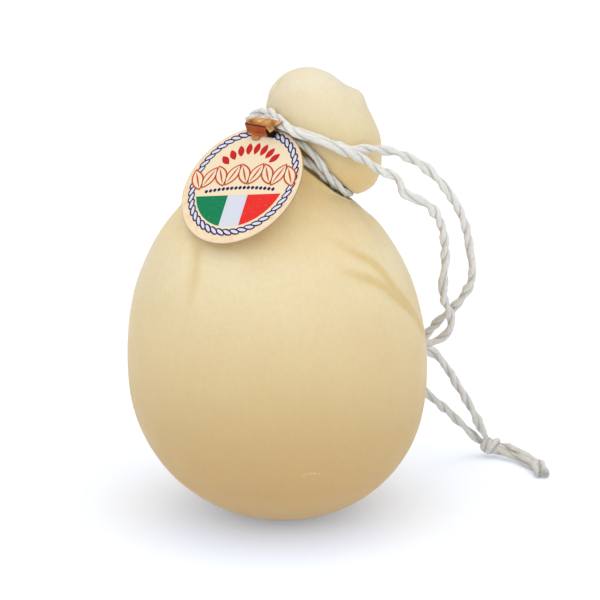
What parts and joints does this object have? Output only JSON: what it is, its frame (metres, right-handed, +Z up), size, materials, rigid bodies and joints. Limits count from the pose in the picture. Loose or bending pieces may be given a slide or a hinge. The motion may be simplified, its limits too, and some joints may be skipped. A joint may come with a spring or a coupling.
{
  "type": "caciocavallo cheese",
  "caption": "Pear-shaped hanging cheese with a tied neck and a round head, with white twine ending in a knot and a round card tag on a folded metal clip.",
  "frame": {"origin": "middle of the small flat spot that the cheese stands on", "axes": "+Z up, from the flat spot to the head; the front with the card tag faces -Y, and the head leans to +X"},
  "size_m": [0.2071, 0.1525, 0.2117],
  "materials": {
    "rind": "smooth pale yellow cheese rind, slightly waxy",
    "twine": "white twisted cotton",
    "card": "cream printed card",
    "clip": "shiny orange brass sheet"
  },
  "bodies": {
    "root": {"cheese": "rind", "neck_turn_lower": "twine", "neck_turn_upper": "twine", "twine_outer": "twine", "twine_inner": "twine", "twine_knot": "twine", "tail_right": "twine", "tail_left": "twine", "label_card": "card", "label_clip": "clip"}
  },
  "joints": []
}
